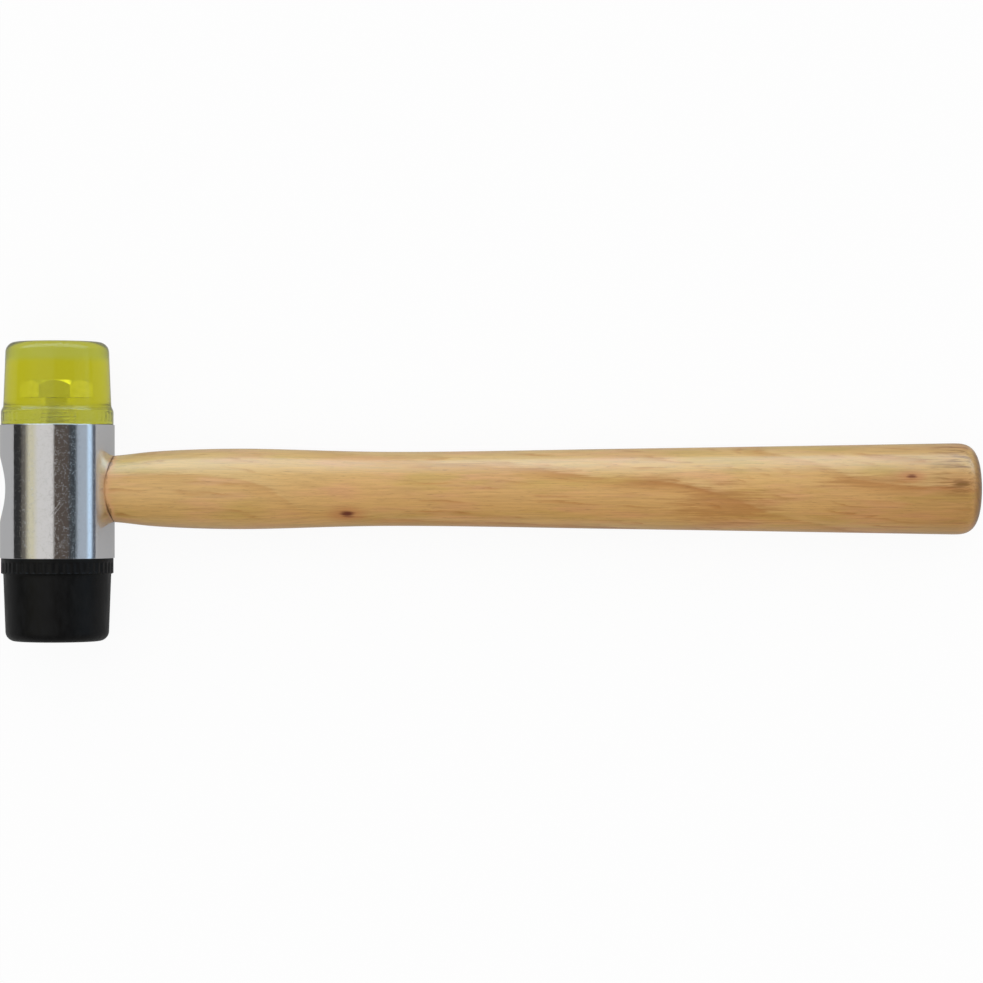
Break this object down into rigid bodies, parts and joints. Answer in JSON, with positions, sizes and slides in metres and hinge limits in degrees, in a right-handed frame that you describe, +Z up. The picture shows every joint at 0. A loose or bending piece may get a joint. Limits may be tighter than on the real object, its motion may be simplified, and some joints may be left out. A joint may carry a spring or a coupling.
{
  "type": "double-faced mallet",
  "caption": "Light mallet with a plated steel barrel, a clear hard plastic face and a black rubber face that unscrew, and an oval wooden handle wedged in the eye.",
  "frame": {"origin": "On the surface that the mallet lies on, under the middle of its outline.", "axes": "+X runs along the handle from the head to the butt, +Y points out of the hard face, +Z is up. The picture looks straight down -Z."},
  "size_m": [0.3, 0.0912, 0.0348],
  "materials": {
    "plated_steel": "bright plating with fine rubbing marks and specks",
    "varnished_wood": "pale honey-coloured wood, lengthwise grain, satin varnish",
    "wedge_wood": "raw sawn wood",
    "wedge_steel": "dull dark steel",
    "hard_plastic": "clear yellow-green moulded plastic, smooth",
    "zinc_steel": "zinc-plated bolt steel",
    "black_rubber": "smooth moulded rubber, slight sheen"
  },
  "bodies": {
    "head": {"head_barrel": "plated_steel", "handle": "varnished_wood", "wooden_wedge": "wedge_wood", "steel_wedge_hard_side": "wedge_steel", "steel_wedge_soft_side": "wedge_steel"},
    "hard_bolt": {"hard_face_bolt": "zinc_steel"},
    "hard_face": {"hard_face": "hard_plastic"},
    "soft_bolt": {"soft_face_bolt": "zinc_steel"},
    "soft_face": {"soft_face": "black_rubber"}
  },
  "joints": [
    {"name": "hard_face_travel", "type": "slide", "parent": "head", "child": "hard_bolt", "axis": [0, 1, 0], "range_m": [0, 0.00876]},
    {"name": "hard_face_turn", "type": "hinge", "parent": "hard_bolt", "child": "hard_face", "pos_m": [-0.13257, 0, 0.0174], "axis": [0, 1, 0], "range_deg": [0, 2520]},
    {"name": "soft_face_travel", "type": "slide", "parent": "head", "child": "soft_bolt", "axis": [0, -1, 0], "range_m": [0, 0.00876]},
    {"name": "soft_face_turn", "type": "hinge", "parent": "soft_bolt", "child": "soft_face", "pos_m": [-0.13257, 0, 0.0174], "axis": [0, -1, 0], "range_deg": [0, 2520]}
  ],
  "couplings": [
    {"joint": "hard_face_travel", "follows": "hard_face_turn", "m_per_rad": 0.00019894},
    {"joint": "soft_face_travel", "follows": "soft_face_turn", "m_per_rad": 0.00019894}
  ]
}
